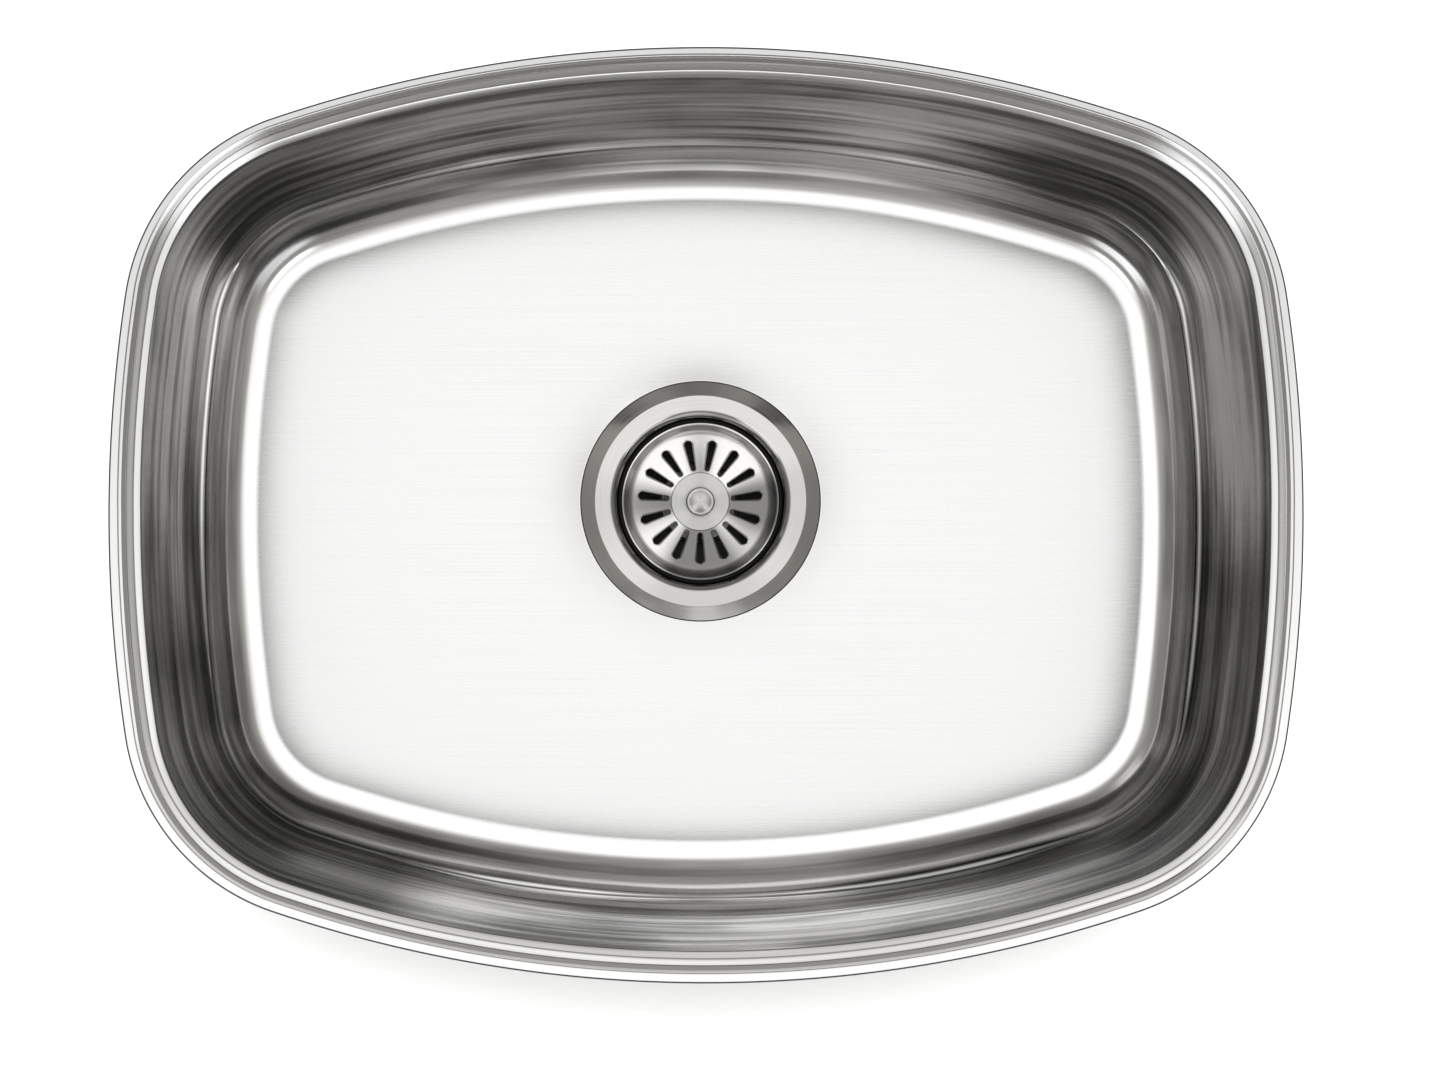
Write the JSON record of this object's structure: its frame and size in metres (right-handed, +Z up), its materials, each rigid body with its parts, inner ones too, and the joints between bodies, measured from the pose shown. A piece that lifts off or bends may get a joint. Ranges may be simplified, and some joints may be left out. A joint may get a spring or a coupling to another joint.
{
  "type": "undermount kitchen sink",
  "caption": "Single-bowl pressed steel kitchen sink with bowed sides, a lift-out strainer basket, a threaded drain with tailpiece, and swing-out clips under the rim.",
  "frame": {"origin": "middle of the rim's flat top face, which meets the underside of the worktop", "axes": "+X along the long way of the bowl to the right, +Y to the back, +Z up out of the bowl"},
  "size_m": [0.5322, 0.417, 0.385],
  "materials": {
    "bowl_steel": "brushed stainless steel, satin",
    "drain_steel": "polished stainless steel",
    "basket_steel": "turned and brushed stainless steel",
    "black_rubber": "matt black rubber",
    "putty": "soft grey sealing ring",
    "fibre": "pressed fibre",
    "zinc_nut": "die-cast zinc, plated",
    "nylon": "natural nylon",
    "zinc_plate": "zinc-plated steel",
    "pad_rubber": "dense grey sound-deadening rubber"
  },
  "bodies": {
    "sink": {"sink_bowl": "bowl_steel", "drain_body": "drain_steel", "flange_seal": "putty", "rubber_gasket": "black_rubber", "friction_ring": "fibre", "lock_nut": "zinc_nut", "post_socket": "drain_steel", "tailpiece": "drain_steel", "tailpiece_washer": "nylon", "slip_nut": "zinc_nut", "clip_brackets": "zinc_plate", "pivot_bolts": "zinc_plate", "wing_nuts": "zinc_plate", "bottom_pad_left": "pad_rubber", "bottom_pad_right": "pad_rubber", "wall_pad_front": "pad_rubber", "wall_pad_back": "pad_rubber", "wall_pad_left": "pad_rubber", "wall_pad_right": "pad_rubber"},
    "basket_post": {"basket_stem": "basket_steel", "knob": "basket_steel", "stem_nut": "basket_steel", "stem_washer": "basket_steel", "spring_clip": "basket_steel"},
    "basket": {"strainer_basket": "basket_steel", "basket_seal": "black_rubber", "knob_disc": "basket_steel"},
    "arm_right": {"clip_arm_right": "zinc_plate"},
    "arm_back_right": {"clip_arm_back_right": "zinc_plate"},
    "arm_back_middle": {"clip_arm_back_middle": "zinc_plate"},
    "arm_back_left": {"clip_arm_back_left": "zinc_plate"},
    "arm_left": {"clip_arm_left": "zinc_plate"},
    "arm_front_left": {"clip_arm_front_left": "zinc_plate"},
    "arm_front_middle": {"clip_arm_front_middle": "zinc_plate"},
    "arm_front_right": {"clip_arm_front_right": "zinc_plate"}
  },
  "joints": [
    {"name": "basket_lift", "type": "slide", "parent": "sink", "child": "basket_post", "axis": [0, 0, 1], "range_m": [0, 0.265]},
    {"name": "basket_turn", "type": "hinge", "parent": "basket_post", "child": "basket", "pos_m": [0, 0.009, -0.2139], "axis": [0, 0, 1], "continuous": true},
    {"name": "clip_swing_right", "type": "hinge", "parent": "sink", "child": "arm_right", "pos_m": [0.2599, 0, -0.00653], "axis": [0, 0, 1], "range_deg": [0, 90]},
    {"name": "clip_swing_back_right", "type": "hinge", "parent": "sink", "child": "arm_back_right", "pos_m": [0.11672, 0.19065, -0.00653], "axis": [0, 0, 1], "range_deg": [0, 90]},
    {"name": "clip_swing_back_middle", "type": "hinge", "parent": "sink", "child": "arm_back_middle", "pos_m": [0, 0.2022, -0.00653], "axis": [0, 0, 1], "range_deg": [0, 90]},
    {"name": "clip_swing_back_left", "type": "hinge", "parent": "sink", "child": "arm_back_left", "pos_m": [-0.11672, 0.19065, -0.00653], "axis": [0, 0, 1], "range_deg": [0, 90]},
    {"name": "clip_swing_left", "type": "hinge", "parent": "sink", "child": "arm_left", "pos_m": [-0.2599, 0, -0.00653], "axis": [0, 0, 1], "range_deg": [0, 90]},
    {"name": "clip_swing_front_left", "type": "hinge", "parent": "sink", "child": "arm_front_left", "pos_m": [-0.11672, -0.19065, -0.00653], "axis": [0, 0, 1], "range_deg": [0, 90]},
    {"name": "clip_swing_front_middle", "type": "hinge", "parent": "sink", "child": "arm_front_middle", "pos_m": [0, -0.2022, -0.00653], "axis": [0, 0, 1], "range_deg": [0, 90]},
    {"name": "clip_swing_front_right", "type": "hinge", "parent": "sink", "child": "arm_front_right", "pos_m": [0.11672, -0.19065, -0.00653], "axis": [0, 0, 1], "range_deg": [0, 90]}
  ]
}
